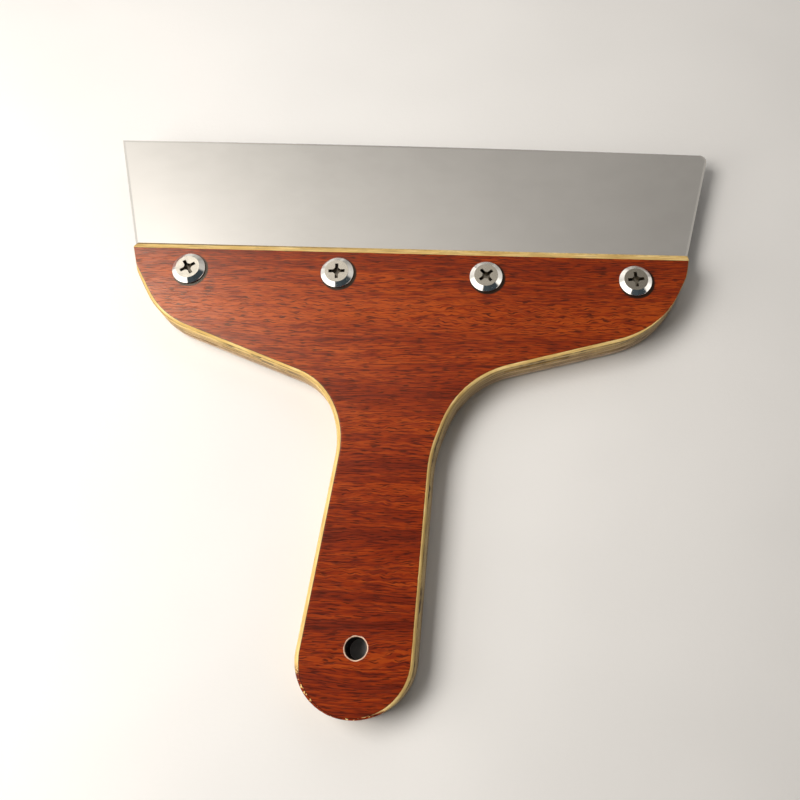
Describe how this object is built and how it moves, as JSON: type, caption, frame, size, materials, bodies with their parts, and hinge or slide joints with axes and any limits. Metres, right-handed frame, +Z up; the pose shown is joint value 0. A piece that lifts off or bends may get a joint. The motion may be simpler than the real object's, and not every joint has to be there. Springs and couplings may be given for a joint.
{
  "type": "drywall taping knife",
  "caption": "Wide flared steel taping knife clamped in the sawn front edge of a T-shaped plywood handle, with bevelled chrome bolt heads and a hang hole.",
  "frame": {"origin": "centre of the knife's outline, on the surface that its nut heads stand on", "axes": "+X along the cutting edge, +Y from the butt of the grip towards the cutting edge, +Z up through the board"},
  "size_m": [0.2492, 0.2292, 0.0156],
  "materials": {
    "blade_steel": "satin, fine ground",
    "red_veneer": "red-brown veneer under satin lacquer",
    "light_ply": "sanded plywood edge, long grain",
    "cross_ply": "sanded plywood edge, end grain",
    "fastener_chrome": "polished plating"
  },
  "bodies": {
    "root": {"blade": "blade_steel", "front_face_veneer": "red_veneer", "front_outer_ply": "light_ply", "front_cross_ply": "cross_ply", "core_ply": "light_ply", "rear_cross_ply": "cross_ply", "rear_outer_ply": "light_ply", "rear_face_veneer": "red_veneer", "clamp_bolt_1": "fastener_chrome", "clamp_bolt_2": "fastener_chrome", "clamp_bolt_3": "fastener_chrome", "clamp_bolt_4": "fastener_chrome", "barrel_nut_1": "fastener_chrome", "barrel_nut_2": "fastener_chrome", "barrel_nut_3": "fastener_chrome", "barrel_nut_4": "fastener_chrome"}
  },
  "joints": []
}
